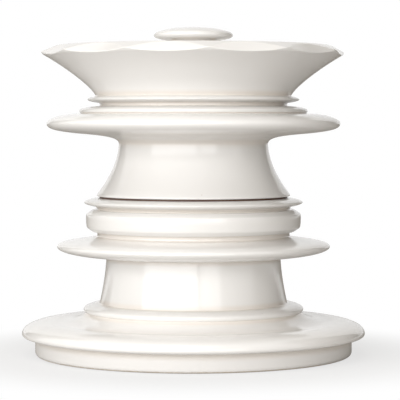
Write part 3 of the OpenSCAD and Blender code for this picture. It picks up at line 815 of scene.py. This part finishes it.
class MILL_OT_silicones(bpy.types.Operator):
    """Finish the gaskets, the seal, the washer and the foot ring"""

    bl_idname = "mill.silicones"
    bl_label = "Silicone pieces"

    def execute(self, context):
        c = settings().colours
        silicone = material("silicone", "moulded",
                            {"Base": rgba(c.silicone), "Dust": DARK_DUST,
                             "Roughness": 0.5, "Dust amount": 0.30, "Grain scale": 1800.0},
                            (0.30, 0.00008), IOR=1.42)
        dress(["lip_gasket", "base_gasket", "plug_seal", "knob_washer", "foot_ring"], silicone)
        return {"FINISHED"}


def steel(name, roughness, ring_scale, dark=0.0):
    """A turned steel; dark is how far it is darkened towards black oxide."""
    base = settings().colours.steel
    tone = [v * (1 - dark) for v in base]
    return material(name, "turned_metal",
                    {"Metal": rgba(tone), "Dull": rgba([v * 0.55 for v in tone]),
                     "Roughness": roughness, "Ring scale": ring_scale},
                    (0.25, 0.00003), metallic=1.0)


class MILL_OT_studio(bpy.types.Operator):
    """Set up the floor, the lamps and the camera"""

    bl_idname = "mill.studio"
    bl_label = "Studio"

    def execute(self, context):
        s = settings().studio
        self.floor(s)
        self.room(context.scene, s)
        middle = Vector((0, 0, MIDDLE))
        self.panel("key", s.key_power, (1.4, 0.62), beside(-30, 10, 1.0), middle)
        self.panel("fill", s.fill_power, (0.45, 0.6), beside(22, 10, 1.05), middle)
        self.panel("top", s.top_power, (0.9, 0.55), beside(-28, 62, 1.0), middle)
        self.flag("flag_right", beside(113, 0, 0.8), (1.0, 1.2))
        self.flag("flag_left", beside(-138, 0, 1.1), (0.5, 1.2))
        self.camera(context.scene, s)
        return {"FINISHED"}

    def floor(self, s):
        """A round pale floor that shows as white and keeps the mill's shadow."""
        turns, rings = 96, 14
        radii = [s.floor_size / 2 * (i / rings) ** 1.6 for i in range(rings + 1)]
        verts = [(0.0, 0.0, 0.0)]
        verts += [(r * math.cos(a), r * math.sin(a), 0.0) for r in radii[1:]
                  for a in (2 * math.pi * j / turns for j in range(turns))]
        faces = [(0, 1 + j, 1 + (j + 1) % turns) for j in range(turns)]
        faces += [(1 + i * turns + j, 1 + (i + 1) * turns + j,
                   1 + (i + 1) * turns + (j + 1) % turns, 1 + i * turns + (j + 1) % turns)
                  for i in range(rings - 1) for j in range(turns)]
        floor = new_piece("studio_floor", verts, faces)
        made = bpy.data.materials.new("mill_floor")
        made.use_nodes = True
        tree = made.node_tree
        surface, out = tree.nodes["Principled BSDF"], tree.nodes["Material Output"]
        grain = noise(tree, object_place(tree), 60.0, 3.0)
        tone = mixed(tree, ramp(tree, grain, 0.3, 0.7, 0.0, 0.06), FLOOR_PALE, FLOOR_DULL)
        tree.links.new(tone, surface.inputs["Base Color"])
        surface.inputs["Roughness"].default_value = 0.9
        surface.inputs["Specular IOR Level"].default_value = 0.0
        glow = add(tree, "ShaderNodeEmission", (), Color=WHITE, Strength=1.0)
        seen = add(tree, "ShaderNodeLightPath").outputs["Is Camera Ray"]
        away = from_axis(tree, add(tree, "ShaderNodeSeparateXYZ", (),
                                   Vector=object_place(tree)))
        # the glow is full beyond the shadow's reach
        share = ramp(tree, away, 62 * MM, 120 * MM, s.floor_glow, 1.0)
        both = add(tree, "ShaderNodeMixShader", (), i0=maths(tree, "MULTIPLY", seen, share))
        tree.links.new(surface.outputs[0], both.inputs[1])
        tree.links.new(glow.outputs[0], both.inputs[2])
        tree.links.new(both.outputs[0], out.inputs["Surface"])
        floor.data.materials.append(made)

    def room(self, scene, s):
        """A room that lights softly and shows as white."""
        world = bpy.data.worlds.new("mill_room")
        scene.world = world
        world.use_nodes = True
        tree = world.node_tree
        back = tree.nodes["Background"]
        path = add(tree, "ShaderNodeLightPath")
        seen = maths(tree, "MAXIMUM", path.outputs["Is Camera Ray"],
                     maths(tree, "MAXIMUM", path.outputs["Is Glossy Ray"],
                           path.outputs["Is Transmission Ray"]))
        tone = mixed(tree, seen, rgba(s.room), WHITE)
        tree.links.new(tone, back.inputs["Color"])
        back.inputs["Strength"].default_value = 1.0

    def panel(self, name, power, size, place, target):
        """A soft lamp, width by height, that the camera doesn't see."""
        lamp = bpy.data.lights.new(name, "AREA")
        lamp.shape = "RECTANGLE"
        lamp.size, lamp.size_y = size
        lamp.energy = power
        piece = bpy.data.objects.new(name, lamp)
        piece.location = place
        piece.rotation_euler = (target - place).to_track_quat("-Z", "Y").to_euler()
        piece.visible_camera = False
        bpy.context.scene.collection.objects.link(piece)

    def flag(self, name, place, size):
        """A dark cloth panel beside the mill that only reflections and light see."""
        w, h = size  # metres
        turn = (Vector((0, 0, place.z)) - place).to_track_quat("-Z", "Y").to_matrix()
        cuts = 8
        verts, faces = [], []
        for j in range(cuts + 1):
            for i in range(cuts + 1):
                u, v = (i / cuts - 0.5) * w, (j / cuts) * h
                bulge = 0.02 * math.sin(math.pi * i / cuts)
                verts.append(place + turn @ Vector((u, 0, bulge)) + Vector((0, 0, v)))
        n = cuts + 1
        for j in range(cuts):
            for i in range(cuts):
                faces.append((j * n + i, j * n + i + 1, (j + 1) * n + i + 1, (j + 1) * n + i))
        piece = new_piece(name, verts, faces)
        cloth = material("flag", "moulded",
                         {"Base": (0.03, 0.026, 0.022, 1), "Dust": (0.06, 0.05, 0.04, 1),
                          "Roughness": 0.9, "Dust amount": 0.3, "Grain scale": 400.0},
                         (0.1, 0.001))
        piece.data.materials.append(cloth)
        piece.visible_camera = False

    def camera(self, scene, s):
        """A long lens, a little above level."""
        data = bpy.data.cameras.new("camera")
        data.sensor_width = 36.0
        data.lens = s.lens
        data.clip_start, data.clip_end = 0.05, 20.0
        piece = bpy.data.objects.new("camera", data)
        piece.location = (s.side, -s.distance, s.eye)
        piece.rotation_euler = (math.pi / 2 - s.pitch, 0, 0)
        scene.collection.objects.link(piece)
        scene.camera = piece


def beside(azimuth, elevation, distance):
    """A place round the mill; azimuth 0 is towards the camera and 90 to its right."""
    a, e = math.radians(azimuth), math.radians(elevation)
    return Vector((distance * math.cos(e) * math.sin(a), -distance * math.cos(e) * math.cos(a),
                   MIDDLE + distance * math.sin(e)))


class MILL_PT_panel(bpy.types.Panel):
    """The mill's pieces and studio, in the order in which they are made"""

    bl_idname = "MILL_PT_panel"
    bl_label = "Pepper mill"
    bl_space_type = "VIEW_3D"
    bl_region_type = "UI"
    bl_category = "Mill"

    def draw(self, context):
        for name in STEPS:
            self.layout.operator(f"mill.{name}")
        for part in ("shells", "colours", "studio"):
            box = self.layout.box()
            values = getattr(context.scene.mill, part)
            for key in values.bl_rna.properties.keys():
                if key not in ("rna_type", "name"):
                    box.prop(values, key)


STEPS = ["body_shell", "head_shell", "finial_knob", "burr_spring", "plastics", "metals",
         "silicones", "studio"]
CLASSES = [MillShells, MillColours, MillStudio, MillSettings, MILL_OT_body_shell,
           MILL_OT_head_shell, MILL_OT_finial_knob, MILL_OT_burr_spring, MILL_OT_plastics,
           MILL_OT_metals, MILL_OT_silicones, MILL_OT_studio, MILL_PT_panel]


def register():
    for c in CLASSES:
        bpy.utils.register_class(c)
    bpy.types.Scene.mill = PointerProperty(type=MillSettings)


def unregister():
    del bpy.types.Scene.mill
    for c in reversed(CLASSES):
        bpy.utils.unregister_class(c)


def main():
    register()
    for name in STEPS:
        getattr(bpy.ops.mill, name)()
    view = bpy.context.scene.view_settings
    view.view_transform = "Standard"


if __name__ == "__main__":
    main()
